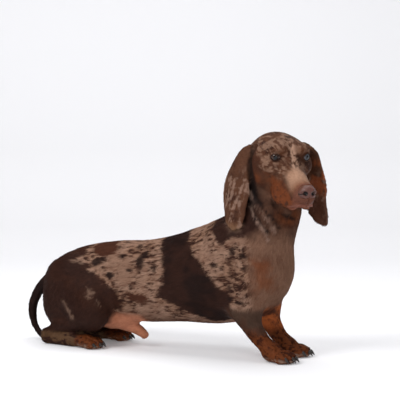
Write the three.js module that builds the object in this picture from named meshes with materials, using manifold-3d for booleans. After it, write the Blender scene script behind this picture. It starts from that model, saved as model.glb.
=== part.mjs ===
// A smooth-coated dachshund sitting low on folded hind legs, head turned to its right, life size.
// Millimetres. +X runs towards the chest, +Y to the dog's left, +Z up, and the floor is at z = 0.
import * as THREE from 'three';
import { mergeVertices } from 'three/addons/utils/BufferGeometryUtils.js';
import Module from 'manifold-3d';

const wasm = await Module();
wasm.setup();

// Driving sizes
const gap = 0.32; // between pieces that meet
const chestHalfWidth = 63;
const waistHalfWidth = 50;
const hipHalfWidth = 47;
const hindLegY = 47; // sideways place of the folded hind legs
const frontLegY = 34; // sideways place of the front feet
const shoulderY = 44;
const headAt = [163, -34, 337]; // centre of the skull
const headYaw = -42; // degrees, to the dog's right
const headPitch = 18.5; // degrees, nose down
const eyeSpread = 28; // half the distance between the eyes
const eyeRadius = 9.5;
const noseReach = 121; // from the centre of the skull to the tip of the nose
const earHalfWidth = 31;
const earThickness = 4.4;
const clawLength = 11;

const V = (a) => new THREE.Vector3(...a);

// Fields: each is a function of a point that gives the distance to a form, less than zero inside it

// An oval lump with three half sizes, turned by degrees about X, Y and Z
function lump(at, half, turn = [0, 0, 0]) {
  const euler = new THREE.Euler(...turn.map(THREE.MathUtils.degToRad));
  const back = new THREE.Matrix4().makeRotationFromEuler(euler).transpose();
  const centre = V(at);
  const q = new THREE.Vector3();
  return (p) => {
    q.copy(p).sub(centre).applyMatrix4(back);
    const [x, y, z] = [q.x / half[0], q.y / half[1], q.z / half[2]];
    const k0 = Math.hypot(x, y, z);
    const k1 = Math.hypot(x / half[0], y / half[1], z / half[2]);
    return k1 < 1e-9 ? -Math.min(...half) : (k0 * (k0 - 1)) / k1;
  };
}

// A limb along a smooth line of stations [x, y, z, half width sideways, half depth]
function limb(stations, steps = 10) {
  const line = new THREE.CatmullRomCurve3(stations.map((s) => V(s)), false, 'centripetal');
  const sizes = new THREE.CatmullRomCurve3(
    stations.map((s) => new THREE.Vector3(s[3], s[4], 0)), false, 'centripetal');
  const count = (stations.length - 1) * steps;
  const rings = Array.from({ length: count + 1 }, (_, i) => {
    const t = i / count;
    const along = line.getTangent(t).normalize();
    const side = new THREE.Vector3(0, 1, 0).addScaledVector(along, -along.y).normalize();
    return { at: line.getPoint(t), along, side, up: new THREE.Vector3().crossVectors(along, side),
      size: sizes.getPoint(t) };
  });
  const d = new THREE.Vector3();
  return (p) => {
    let best = 0;
    let least = Infinity;
    rings.forEach((r, i) => {
      const far = r.at.distanceToSquared(p) / (r.size.x * r.size.y);
      if (far < least) [least, best] = [far, i];
    });
    // the nearest place between two rings
    const near = rings[best];
    const slide = d.copy(p).sub(near.at).dot(near.along);
    const other = rings[Math.min(count, Math.max(0, best + Math.sign(slide)))];
    const span = other.at.distanceTo(near.at);
    const t = span > 0 ? Math.min(1, Math.abs(slide) / span) : 0;
    const mix = (a, b) => a + (b - a) * t;
    const wide = mix(near.size.x, other.size.x);
    const deep = mix(near.size.y, other.size.y);
    const x = mix(near.at.x, other.at.x);
    const y = mix(near.at.y, other.at.y);
    const z = mix(near.at.z, other.at.z);
    d.set(p.x - x, p.y - y, p.z - z);
    const a = d.dot(near.side) / wide;
    const b = d.dot(near.up) / deep;
    const round = Math.min(wide, deep);
    const c = d.dot(near.along) / round;
    const k0 = Math.hypot(a, b, c);
    const k1 = Math.hypot(a / wide, b / deep, c / round);
    return k1 < 1e-9 ? -round : (k0 * (k0 - 1)) / k1;
  };
}

// Joins forms with a soft fold of width k between them
function melt(k, ...fields) {
  return (p) => fields.map((f) => f(p)).reduce((a, b) => {
    const h = Math.max(k - Math.abs(a - b), 0) / k;
    return Math.min(a, b) - (h * h * k) / 4;
  });
}

// Takes forms out of a body with a soft rim of width k
function dent(k, body, ...dents) {
  return (p) => dents.map((f) => f(p)).reduce((a, b) => {
    const h = Math.max(k - Math.abs(a + b), 0) / k;
    return Math.max(a, -b) + (h * h * k) / 4;
  }, body(p));
}

// The same form on the other side of the body
const across = (field) => (p) => field(new THREE.Vector3(p.x, -p.y, p.z));

// Moves a field that is written in a frame of its own
function inFrame(frame, field) {
  const back = frame.clone().invert();
  return (p) => field(p.clone().applyMatrix4(back));
}

// Wraps a closed mesh over a field inside a box [low, high], with cells of the given size
function wrap(field, low, high, cell) {
  const n = low.map((l, i) => Math.ceil((high[i] - l) / cell[i]) + 1);
  const point = (...ijk) => V(low.map((l, axis) => l + ijk[axis] * cell[axis]));
  const at = (i, j, k) => (k * n[1] + j) * n[0] + i;
  const values = new Float64Array(n[0] * n[1] * n[2]);
  for (let k = 0; k < n[2]; k++)
    for (let j = 0; j < n[1]; j++)
      for (let i = 0; i < n[0]; i++) {
        const rim = i === 0 || j === 0 || k === 0 || i === n[0] - 1 || j === n[1] - 1 || k === n[2] - 1;
        values[at(i, j, k)] = rim ? 1 : field(point(i, j, k)) || 1e-6;
      }
  closeCorners(values, n);
  const corners = Array.from({ length: 8 }, (_, c) => [c & 1, (c >> 1) & 1, c >> 2]);
  const sides = corners.flatMap((_, a) => [1, 2, 4].filter((bit) => !(a & bit)).map((bit) => [a, a + bit]));
  const vertexOf = new Map();
  const positions = [];
  for (let k = 0; k < n[2] - 1; k++)
    for (let j = 0; j < n[1] - 1; j++)
      for (let i = 0; i < n[0] - 1; i++) {
        const sum = new THREE.Vector3();
        let crossings = 0;
        for (const [a, b] of sides) {
          const [pa, pb] = [corners[a], corners[b]];
          const va = values[at(i + pa[0], j + pa[1], k + pa[2])];
          const vb = values[at(i + pb[0], j + pb[1], k + pb[2])];
          if (va < 0 === vb < 0) continue;
          const t = va / (va - vb);
          sum.add(point(i + pa[0], j + pa[1], k + pa[2]).lerp(point(i + pb[0], j + pb[1], k + pb[2]), t));
          crossings++;
        }
        if (!crossings) continue;
        vertexOf.set(at(i, j, k), positions.length / 3);
        positions.push(...settle(field, sum.divideScalar(crossings), Math.min(...cell) * 0.4));
      }
  const faces = [];
  const quad = (a, b, c, d, flip) => {
    const [p, q, r, s] = [a, b, c, d].map((v) => new THREE.Vector3().fromArray(positions, 3 * v));
    const split = p.distanceTo(r) < q.distanceTo(s) ? [a, b, c, a, c, d] : [b, c, d, b, d, a];
    faces.push(...(flip ? split.reverse() : split));
  };
  for (let k = 0; k < n[2] - 1; k++)
    for (let j = 0; j < n[1] - 1; j++)
      for (let i = 0; i < n[0] - 1; i++) {
        const inside = values[at(i, j, k)] < 0;
        const cellAt = (x, y, z) => vertexOf.get(at(x, y, z));
        if (j && k && inside !== values[at(i + 1, j, k)] < 0)
          quad(cellAt(i, j - 1, k - 1), cellAt(i, j, k - 1), cellAt(i, j, k), cellAt(i, j - 1, k), !inside);
        if (i && k && inside !== values[at(i, j + 1, k)] < 0)
          quad(cellAt(i - 1, j, k - 1), cellAt(i - 1, j, k), cellAt(i, j, k), cellAt(i, j, k - 1), !inside);
        if (i && j && inside !== values[at(i, j, k + 1)] < 0)
          quad(cellAt(i - 1, j - 1, k), cellAt(i, j - 1, k), cellAt(i, j, k), cellAt(i - 1, j, k), !inside);
      }
  return new THREE.BufferGeometry()
    .setAttribute('position', new THREE.Float32BufferAttribute(positions, 3)).setIndex(faces);
}

// Fills in one corner of each grid square whose corners are inside and outside by turns,
// so that no edge belongs to more than two faces
function closeCorners(values, n) {
  const steps = [1, n[0], n[0] * n[1]];
  for (let pass = 0; pass < 3; pass++)
    for (let k = 0; k < n[2] - 1; k++)
      for (let j = 0; j < n[1] - 1; j++)
        for (let i = 0; i < n[0] - 1; i++)
          for (const [s, t] of [[0, 1], [0, 2], [1, 2]]) {
            const a = (k * n[1] + j) * n[0] + i;
            const square = [a, a + steps[s], a + steps[s] + steps[t], a + steps[t]];
            const inside = square.map((c) => values[c] < 0);
            if (inside[0] !== inside[2] || inside[1] !== inside[3] || inside[0] === inside[1]) continue;
            const [c, d] = square.filter((_, m) => !inside[m]);
            values[values[c] < values[d] ? c : d] = -1e-3;
          }
}

// Moves a point on to the surface of a field, by no more than a limit
function settle(field, start, limit) {
  const p = start.clone();
  const e = 0.4;
  for (let turn = 0; turn < 3; turn++) {
    const f = field(p);
    const slope = new THREE.Vector3(
      field(new THREE.Vector3(p.x + e, p.y, p.z)) - f,
      field(new THREE.Vector3(p.x, p.y + e, p.z)) - f,
      field(new THREE.Vector3(p.x, p.y, p.z + e)) - f).divideScalar(e);
    p.addScaledVector(slope, -f / Math.max(slope.lengthSq(), 0.05));
  }
  const move = p.sub(start).clampLength(0, limit);
  return start.clone().add(move).toArray();
}

// Solids

function solidOf(geometry) {
  const bare = geometry.clone();
  for (const name of Object.keys(bare.attributes)) if (name !== 'position') bare.deleteAttribute(name);
  const closed = bare.index && Object.keys(geometry.attributes).length === 1;
  const merged = closed ? bare : mergeVertices(bare, 1e-3);
  return new wasm.Manifold(new wasm.Mesh({
    numProp: 3,
    vertProperties: Float32Array.from(merged.attributes.position.array),
    triVerts: Uint32Array.from(merged.index.array),
  }));
}

function geometryOf(solid) {
  const mesh = solid.getMesh();
  const at = Array.from({ length: mesh.numVert }, (_, i) => new THREE.Vector3()
    .fromArray(mesh.vertProperties, i * mesh.numProp));
  const faces = [];
  for (let i = 0; i < mesh.triVerts.length; i += 3) faces.push(Array.from(mesh.triVerts.subarray(i, i + 3)));
  const kept = shortEdgesOut(at, faces);
  const used = [...new Set(kept.flat())];
  const newIndex = new Map(used.map((v, i) => [v, i]));
  return new THREE.BufferGeometry()
    .setAttribute('position', new THREE.Float32BufferAttribute(used.flatMap((v) => at[v].toArray()), 3))
    .setIndex(kept.flat().map((v) => newIndex.get(v)));
}

// Draws the two ends of each very short edge together, where the surface stays closed
function shortEdgesOut(at, faces, shortest = 0.04) {
  const around = at.map(() => new Set());
  faces.forEach((f, i) => f.forEach((v) => around[v].add(i)));
  const neighbours = (v) => new Set([...around[v]].flatMap((i) => faces[i]).filter((w) => w !== v));
  const gone = new Set();
  for (let pass = 0; pass < 3; pass++)
    for (let i = 0; i < faces.length; i++) {
      if (gone.has(i)) continue;
      for (let e = 0; e < 3; e++) {
        const [a, b] = [faces[i][e], faces[i][(e + 1) % 3]];
        if (at[a].distanceTo(at[b]) > shortest) continue;
        const nearB = neighbours(b);
        const shared = [...neighbours(a)].filter((v) => nearB.has(v));
        if (shared.length !== 2) continue;
        for (const j of around[b]) {
          if (faces[j].includes(a)) {
            gone.add(j);
            faces[j].forEach((v) => v !== b && around[v].delete(j));
          } else {
            faces[j] = faces[j].map((v) => (v === b ? a : v));
            around[a].add(j);
          }
        }
        around[b].clear();
        break;
      }
    }
  return faces.filter((_, i) => !gone.has(i));
}

// A closed mesh grown by a distance along its normals
function grown(geometry, by) {
  const bare = geometry.clone();
  for (const name of Object.keys(bare.attributes)) if (name !== 'position') bare.deleteAttribute(name);
  const made = mergeVertices(bare, 1e-3);
  made.computeVertexNormals();
  const p = made.attributes.position;
  const nrm = made.attributes.normal;
  for (let i = 0; i < p.count; i++)
    p.setXYZ(i, p.getX(i) + by * nrm.getX(i), p.getY(i) + by * nrm.getY(i), p.getZ(i) + by * nrm.getZ(i));
  made.deleteAttribute('normal');
  return made;
}

// The half of space ahead of a plane, as a large box
function ahead(at, normal, offset = 0) {
  const size = 1400;
  const turn = new THREE.Quaternion().setFromUnitVectors(new THREE.Vector3(0, 0, 1), V(normal).normalize());
  const box = new THREE.BoxGeometry(size, size, size).translate(0, 0, size / 2 + offset)
    .applyQuaternion(turn).translate(...at);
  return solidOf(box);
}
const before = (at, normal, offset = 0) => ahead(at, normal.map((v) => -v), offset);

// Cuts a piece out of a body with the gap round it
function clear(body, piece) {
  return [-gap, 0, gap].reduce((left, y) => left.subtract(solidOf(piece.clone().translate(0, y, 0))),
    body.subtract(solidOf(grown(piece, 1.5 * gap))));
}

// Only the largest closed surface of a solid
function largest(solid) {
  return solid.decompose().reduce((a, b) => (b.volume() > a.volume() ? b : a));
}

// Body fields

const trunk = limb([
  [-274, 0, 106, hipHalfWidth - 12, 34],
  [-240, 0, 113, hipHalfWidth, 52],
  [-195, 0, 116, hipHalfWidth + 2, 63],
  [-145, 0, 115, waistHalfWidth, 70],
  [-90, 0, 117, waistHalfWidth + 5, 71],
  [-30, 0, 125, chestHalfWidth - 3, 75],
  [25, 0, 134, chestHalfWidth, 84],
  [75, 0, 144, chestHalfWidth, 86],
  [112, 0, 150, chestHalfWidth - 9, 68],
  [128, 0, 152, chestHalfWidth - 22, 44],
]);
const neckLine = limb([
  [70, 0, 170, 54, 58],
  [108, 0, 206, 52, 55],
  [129, -5, 247, 49, 55],
  [136, -12, 288, 45, 51],
  [138, -20, 320, 40, 42],
]);
const shoulder = melt(16,
  lump([62, shoulderY + 3, 168], [34, 15, 56], [0, 28, 0]),
  lump([104, shoulderY - 2, 128], [32, 17, 30], [0, 30, 0]));
const upperArm = limb([
  [116, shoulderY - 4, 122, 22, 29],
  [103, shoulderY - 2, 98, 19, 27],
  [107, shoulderY - 4, 78, 17, 22],
]);
const forearm = limb([
  [104, shoulderY - 3, 92, 17, 24],
  [108, shoulderY - 6, 70, 15.5, 20],
  [119, frontLegY + 2, 49, 14.5, 16.5],
  [133, frontLegY, 31, 15, 13.5],
  [148, frontLegY, 20, 15.5, 12.5],
]);
const haunch = melt(14,
  lump([-232, hindLegY - 6, 108], [52, 27, 50], [0, 18, 0]),
  lump([-196, hindLegY + 2, 78], [44, 25, 42], [0, 30, 0]),
  lump([-178, hindLegY + 4, 56], [24, 20, 24]),
  lump([-258, hindLegY - 8, 76], [30, 22, 42]));
const shank = limb([
  [-182, hindLegY + 3, 50, 16, 17],
  [-225, hindLegY + 1, 38, 12, 12],
  [-262, hindLegY - 3, 28, 8, 9],
  [-286, hindLegY - 6, 18, 8.5, 10],
]);
const tailLine = limb([
  [-272, 0, 132, 13, 14],
  [-305, 2, 109, 10, 11],
  [-330, 4, 84, 9, 9.5],
  [-342, 5, 57, 8, 8.5],
  [-340, 4, 33, 7, 7],
  [-327, 0, 14, 6.2, 6.2],
  [-305, -8, 5.8, 5.6, 6.6],
  [-286, -14, 4, 4.4, 5],
]);
const sheath = limb([
  [-186, 0, 42, 13, 12],
  [-150, 0, 38, 12, 11],
  [-120, 0, 30, 10, 10],
  [-107, 0, 22, 8, 8],
]);
const groin = lump([-165, 0, 44], [36, 30, 16]);

// Head, in a frame of its own: +x to the nose, +y left, +z up, from the centre of the skull
const headFrame = new THREE.Matrix4().makeRotationFromEuler(new THREE.Euler(
  0, THREE.MathUtils.degToRad(headPitch), THREE.MathUtils.degToRad(headYaw), 'ZYX')).setPosition(...headAt);
const eyeAt = [36, eyeSpread, 9];
const noseAt = [noseReach - 8, 0, -21];
const muzzle = limb([
  [22, 0, -14, 32, 30],
  [48, 0, -22, 25, 25],
  [72, 0, -27, 20.5, 23],
  [96, 0, -28, 18, 18],
  [108, 0, -28, 15.5, 15.5],
]);
const bothSides = (field) => (p) => field(p.y < 0 ? new THREE.Vector3(p.x, -p.y, p.z) : p);
const lips = bothSides(melt(8,
  lump([82, 12, -46], [25, 10.5, 15], [0, -6, 0]),
  lump([56, 18, -43], [26, 12, 19], [0, 4, 0])));
const jaw = limb([
  [34, 0, -50, 14, 8],
  [60, 0, -53, 13, 8],
  [88, 0, -49, 11, 7],
  [107, 0, -43, 9, 6.5],
]);
const skull = melt(14,
  lump([-6, 0, -1], [48, 40, 34]),
  lump([18, 0, 6], [28, 36, 25], [0, 8, 0]),
  bothSides(lump([-4, 27, -18], [34, 15, 26])),
  muzzle);
const brow = bothSides(lump([33, 21, 21], [12, 11, 6], [0, 20, 0]));
const cheekBone = bothSides(lump([23, 34, -6], [24, 9, 9], [0, 8, -14]));
const wholeHead = dent(7,
  melt(9, skull, lips, melt(5, brow, cheekBone)),
  bothSides(lump([eyeAt[0] + 8, eyeAt[1] + 9, eyeAt[2]], [12, 8, 8], [0, 0, 30])),
  lump([50, 0, 24], [18, 11, 8], [0, 28, 0]));
const headField = inFrame(headFrame, wholeHead);
const jawField = inFrame(headFrame, jaw);

// The whole of the flesh in one field
const flesh = melt(22,
  melt(26, trunk, neckLine),
  melt(12, shoulder, upperArm), across(melt(12, shoulder, upperArm)));
const front = melt(12, flesh, forearm, across(forearm));
const hind = melt(9, melt(16, flesh, haunch, across(haunch)), shank, across(shank));
const underside = melt(14, hind, groin);
const headAndNeck = melt(20, front, headField);

// Where the body is parted
const headCut = { at: [140, -16, 313], normal: [0.567, -0.51, 0.646] };
const neckCut = { at: [100, 0, 215], normal: [0.3, 0, 0.954] };
const tailHalf = { at: [-337, 0, 58], normal: [0, 0, -1] };
const thighBox = { low: [-400, 36, -20], high: [-136, 200, 150] };
const legBox = { low: [84, 12, -20], high: [260, 160, 84] };

const half = gap / 2;
const beyond = (cut) => ahead(cut.at, cut.normal, half);
const short = (cut) => before(cut.at, cut.normal, half);
const boxSolid = (low, high, by = 0) => solidOf(new THREE.BoxGeometry(
  high[0] - low[0] + 2 * by, high[1] - low[1] + 2 * by, high[2] - low[2] + 2 * by)
  .translate((low[0] + high[0]) / 2, (low[1] + high[1]) / 2, (low[2] + high[2]) / 2));
const flipped = ({ low, high }) => ({ low: [low[0], -high[1], low[2]], high: [high[0], -low[1], high[2]] });

const materials = {
  coat: new THREE.MeshStandardMaterial({ color: '#4a3026', roughness: 0.75, metalness: 0 }),
  tan: new THREE.MeshStandardMaterial({ color: '#7a4526', roughness: 0.75, metalness: 0 }),
  nose: new THREE.MeshStandardMaterial({ color: '#5c3f3a', roughness: 0.45, metalness: 0 }),
  eye: new THREE.MeshStandardMaterial({ color: '#1c100b', roughness: 0.08, metalness: 0 }),
  claw: new THREE.MeshStandardMaterial({ color: '#1d1512', roughness: 0.4, metalness: 0 }),
};

// Ears: leaves that hang from the sides of the skull, folded at the root and cupped towards the cheek.
// Each has a middle line from root to tip and a direction from its back edge to its front edge.
const earShapes = {
  left: {
    line: [[-16, 38, 12], [-15, 57, 2], [-9, 69, -40], [-2, 75, -80], [30, 88, -120]],
    fore: [0.85, 0.5, 0],
    curl: 7,
    taper: 0.45,
  },
  right: {
    line: [[-20, -35, 8], [-25, -50, -6], [-25, -60, -38], [-15, -64, -88], [2, -66, -137]],
    fore: [0.86, 0.41, 0.29],
    curl: -9,
    taper: 0,
  },
};
const earWidths = new THREE.SplineCurve(
  [[0, 0.4], [0.12, 0.52], [0.3, 0.72], [0.6, 1], [0.8, 0.92], [0.94, 0.66], [1, 0.4]]
    .map(([x, y]) => new THREE.Vector2(x, y)));
function ear({ line, fore, curl, taper }) {
  const middle = new THREE.CatmullRomCurve3(line.map(V));
  const leaf = new THREE.SphereGeometry(1, 14, 18);
  const p = leaf.attributes.position;
  for (let i = 0; i < p.count; i++) {
    const level = Math.acos(THREE.MathUtils.clamp(p.getY(i), -1, 1)) / Math.PI; // 0 at the root, 1 at the tip
    const ring = Math.max(Math.sin(Math.PI * level), 1e-6);
    const over = p.getX(i) / ring; // -1 at the back edge, 1 at the front edge
    const thick = p.getZ(i) / ring;
    const reach = Math.min(level, 0.97);
    const down = middle.getTangentAt(reach);
    const out = new THREE.Vector3().crossVectors(down, V(fore)).normalize();
    const front = new THREE.Vector3().crossVectors(out, down).normalize();
    const width = earHalfWidth * earWidths.getPoint(level).y * (1 - taper * level ** 4);
    const spread = width * Math.min(1, ring * 4);
    const wave = 0.5 * Math.sin(over * 5) * Math.exp(-level * 5);
    const bend = curl * ((1 - 0.4 * level) * (over * over - 0.4) + wave);
    const half = (earThickness / 2) * (1 + 1.2 * Math.exp(-level * 8)) * Math.min(1, ring * 3);
    const q = middle.getPointAt(reach).addScaledVector(front, over * spread * (1 - 0.1 * ring))
      .addScaledVector(out, thick * half + bend);
    p.setXYZ(i, q.x, q.y, q.z);
  }
  return leaf.applyMatrix4(headFrame);
}

const root = new THREE.Group();
function place(name, material, solid) {
  const mesh = new THREE.Mesh(geometryOf(largest(solid)), material);
  mesh.name = name;
  root.add(mesh);
  return mesh;
}

// Eyes
const eyes = {};
for (const [side, word] of [[1, 'left'], [-1, 'right']]) {
  const ball = new THREE.SphereGeometry(eyeRadius, 12, 9)
    .translate(eyeAt[0] - 4, side * (eyeAt[1] - 4), eyeAt[2]).applyMatrix4(headFrame);
  eyes[word] = ball;
  place(`eye_${word}`, materials.eye, solidOf(ball));
}


// Nose leather with two nostrils
const nostril = bothSides(melt(2, lump([noseAt[0] + 8, 5.4, noseAt[2] + 1], [4.5, 3, 3.4], [0, 0, 20]),
  lump([noseAt[0] + 4, 10, noseAt[2] - 1], [5, 3.5, 1.6], [0, 0, 50])));
const noseField = inFrame(headFrame, dent(2,
  melt(4, lump(noseAt, [10, 14, 11.5]), lump([noseAt[0] - 5, 0, noseAt[2] + 4], [9, 12, 9])), nostril));
const nose = wrap(noseField, [220, -150, 250], [275, -85, 310], [3.5, 3.5, 3.5]);
place('nose', materials.nose, solidOf(nose));

// Lower jaw
const jawSolid = wrap(jawField, [120, -150, 225], [260, -10, 335], [7, 7, 6.5]);

// Lids: an almond ring round each eye
function lids(side) {
  return new THREE.TorusGeometry(eyeRadius * 0.98, 2.3, 6, 18)
    .scale(1.06, 0.8, 1.2)
    .rotateY(Math.PI / 2)
    .rotateX(side * 0.12)
    .rotateZ(side * THREE.MathUtils.degToRad(38))
    .translate(eyeAt[0] + 0.6, side * (eyeAt[1] - 0.2), eyeAt[2])
    .applyMatrix4(headFrame);
}

// Head
const ears = { left: ear(earShapes.left), right: ear(earShapes.right) };
let head = solidOf(wrap(headAndNeck, [100, -190, 215], [285, 55, 405], [8.6, 8.6, 7.8]))
  .intersect(beyond(headCut));
head = head.add(solidOf(lids(1))).add(solidOf(lids(-1)));
for (const piece of [...Object.values(eyes), ...Object.values(ears), nose, jawSolid])
  head = clear(head, piece);
place('head', materials.coat, head);
place('lower_jaw', materials.tan, clear(solidOf(jawSolid), nose));
for (const [word, leaf] of Object.entries(ears)) place(`ear_${word}`, materials.coat, solidOf(leaf));

// A claw: a small hooked cone, from its root towards +x
function claw() {
  const cone = new THREE.ConeGeometry(2.7, clawLength, 6, 2)
    .rotateZ(-Math.PI / 2).translate(clawLength / 2, 0, 0);
  const p = cone.attributes.position;
  for (let i = 0; i < p.count; i++) p.setZ(i, p.getZ(i) * 1.15 - 0.045 * p.getX(i) ** 2);
  return cone;
}

// A paw in its own frame: +x to the toes, with the sole on z = 0
const toeRow = [[11, -15], [19, -5.4], [19, 5.4], [11, 15]];
function paw(scale) {
  const sized = (...lengths) => lengths.map((l) => l * scale);
  const toes = toeRow.map(([x, y]) => lump(sized(x, y, 8.5), sized(13, 7, 10.5), [0, 8, 0]));
  return melt(5, lump(sized(-7, 0, 12), sized(22, 17, 13)), melt(2.5, ...toes));
}
function pawFrame(x, y, turn) {
  return new THREE.Matrix4().makeRotationZ(THREE.MathUtils.degToRad(turn)).setPosition(x, y, 0);
}
const clawsOf = (frame, scale) => toeRow.map(([x, y]) => claw()
  .rotateY(0.32).translate((x + 9.5) * scale, y * scale, 9.4 * scale).applyMatrix4(frame));

// Front legs
const floor = ahead([0, 0, 0], [0, 0, 1]);
const wristCut = { at: [124, 0, 42], normal: [0.62, 0, -0.78] };
for (const [side, word, reach, box] of [[1, 'left', -3, legBox], [-1, 'right', 0, flipped(legBox)]]) {
  const frame = pawFrame(160 + reach, side * frontLegY, side * 6);
  const field = melt(9, front, inFrame(frame, paw(1)));
  const y = side * 40;
  const leg = solidOf(wrap(front, [66, y - 40, 15], [190, y + 40, 110], [8.5, 8, 9]))
    .intersect(boxSolid(box.low, box.high)).intersect(short(wristCut));
  const footY = side * frontLegY;
  let foot = solidOf(wrap(field, [92, footY - 32, -8], [210, footY + 32, 66], [8, 6.5, 7]))
    .intersect(beyond(wristCut)).intersect(floor);
  clawsOf(frame, 1).forEach((one, i) => {
    foot = clear(foot, one);
    place(`claw_front_${word}_${i + 1}`, materials.claw, solidOf(one).intersect(floor));
  });
  place(`front_leg_${word}`, materials.coat, leg);
  place(`front_paw_${word}`, materials.tan, foot);
}

// Hind feet
const footSolids = {};
for (const [side, word] of [[1, 'left'], [-1, 'right']]) {
  const frame = pawFrame(-191, side * (hindLegY + 2), side * 3);
  const instep = limb([
    [-285, side * (hindLegY - 7), 13, 9, 13.5],
    [-255, side * (hindLegY - 4), 11, 10, 12],
    [-222, side * hindLegY, 12, 13, 13],
  ]);
  const y = side * hindLegY;
  const field = melt(8, instep, inFrame(frame, paw(0.94)));
  let foot = solidOf(wrap(field, [-304, y - 32, -8], [-145, y + 32, 42], [8.5, 6.5, 7])).intersect(floor);
  footSolids[word] = foot;
  clawsOf(frame, 0.94).forEach((one, i) => {
    foot = clear(foot, one);
    place(`claw_hind_${word}_${i + 1}`, materials.claw, solidOf(one).intersect(floor));
  });
  place(`hind_foot_${word}`, materials.tan, foot);
}

// Sheath under the belly
const sheathGeometry = wrap(sheath, [-212, -26, 2], [-88, 26, 66], [8, 7, 7]);
place('sheath', materials.tan, solidOf(sheathGeometry));

// Tail
const tail = solidOf(wrap(tailLine, [-370, -40, -8], [-240, 34, 172], [8, 8, 8])).intersect(floor);
place('tail_upper', materials.coat, tail.intersect(short(tailHalf)));
place('tail_lower', materials.coat, tail.intersect(beyond(tailHalf)));

// Neck, torso, and thighs with their shanks
let neck = solidOf(wrap(headAndNeck, [10, -100, 150], [225, 90, 400], [15, 13, 14]))
  .intersect(beyond(neckCut)).intersect(short(headCut));
for (const piece of [jawSolid, ...Object.values(ears)]) neck = clear(neck, piece);
place('neck', materials.coat, neck);
const whole = melt(12, underside, across(forearm), forearm);
let torso = solidOf(wrap(whole, [-330, -104, 20], [215, 104, 300], [19, 14, 13.5])).intersect(short(neckCut));
for (const piece of [geometryOf(tail), sheathGeometry, ...Object.values(ears)]) torso = clear(torso, piece);
for (const box of [thighBox, flipped(thighBox), legBox, flipped(legBox)])
  torso = torso.subtract(boxSolid(box.low, box.high, gap));
place('torso', materials.coat, torso);
for (const [side, word, box] of [[1, 'left', thighBox], [-1, 'right', flipped(thighBox)]]) {
  const y = side * 60;
  let leg = solidOf(wrap(hind, [-330, y - 46, 0], [-110, y + 46, 176], [12, 9.5, 10.5]))
    .intersect(boxSolid(box.low, box.high));
  for (const piece of [geometryOf(footSolids[word]), geometryOf(tail)]) leg = clear(leg, piece);
  place(`hind_leg_${word}`, materials.coat, leg);
}

// The origin is under the middle of the box round the whole dog
const middle = new THREE.Box3().setFromObject(root).getCenter(new THREE.Vector3());
root.children.forEach((mesh) => mesh.geometry.translate(-middle.x, -middle.y, 0));

export default root;
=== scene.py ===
import math

import bmesh
import bpy
import numpy as np
from mathutils import Matrix, Vector
from mathutils.bvhtree import BVHTree


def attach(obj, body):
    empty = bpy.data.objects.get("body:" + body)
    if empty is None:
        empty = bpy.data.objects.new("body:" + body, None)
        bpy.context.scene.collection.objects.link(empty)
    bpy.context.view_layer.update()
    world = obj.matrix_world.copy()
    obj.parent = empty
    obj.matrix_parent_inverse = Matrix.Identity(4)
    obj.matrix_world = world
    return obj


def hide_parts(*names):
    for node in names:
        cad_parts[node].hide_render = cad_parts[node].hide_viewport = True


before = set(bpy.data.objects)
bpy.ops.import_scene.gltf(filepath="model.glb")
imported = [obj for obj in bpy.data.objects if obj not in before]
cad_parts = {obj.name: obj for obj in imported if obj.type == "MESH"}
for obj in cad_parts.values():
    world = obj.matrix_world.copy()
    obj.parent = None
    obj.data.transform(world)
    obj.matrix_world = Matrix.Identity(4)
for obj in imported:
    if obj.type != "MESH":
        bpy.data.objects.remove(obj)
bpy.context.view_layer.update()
mm = 0.001
rng = np.random.default_rng(27)

midY = 19.7  # the middle plane of the trunk, in millimetres

# camera, floor and lights
view = {"turn": 27.0, "distance": 2.320, "height": 0.388, "down": 3.2, "lens": 124.02, "aim": (0.0505, 0.0197)}
light = {
    "key": {"at": (-0.9, -2.3, 2.3), "size": 1.4, "power": 62},
    "fill": {"at": (1.9, -2.2, 0.9), "size": 0.5, "power": 13},
    "top": {"at": (0.1, 0.3, 2.4), "size": 2.0, "power": 34},
    "aim": (0.05, 0, 0.15),
    "sky": 0.34,
    "skyColour": (0.97, 0.97, 1.0, 1),
}
paper = {
    "colour": (0.84, 0.84, 0.855, 1),
    "glow": 0.12,
    "width": 10,
    "rise": ((-4, 0), (1.6, 0), (2.0, 0.06), (2.3, 0.3), (2.45, 0.8), (2.5, 4)),
}


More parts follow.
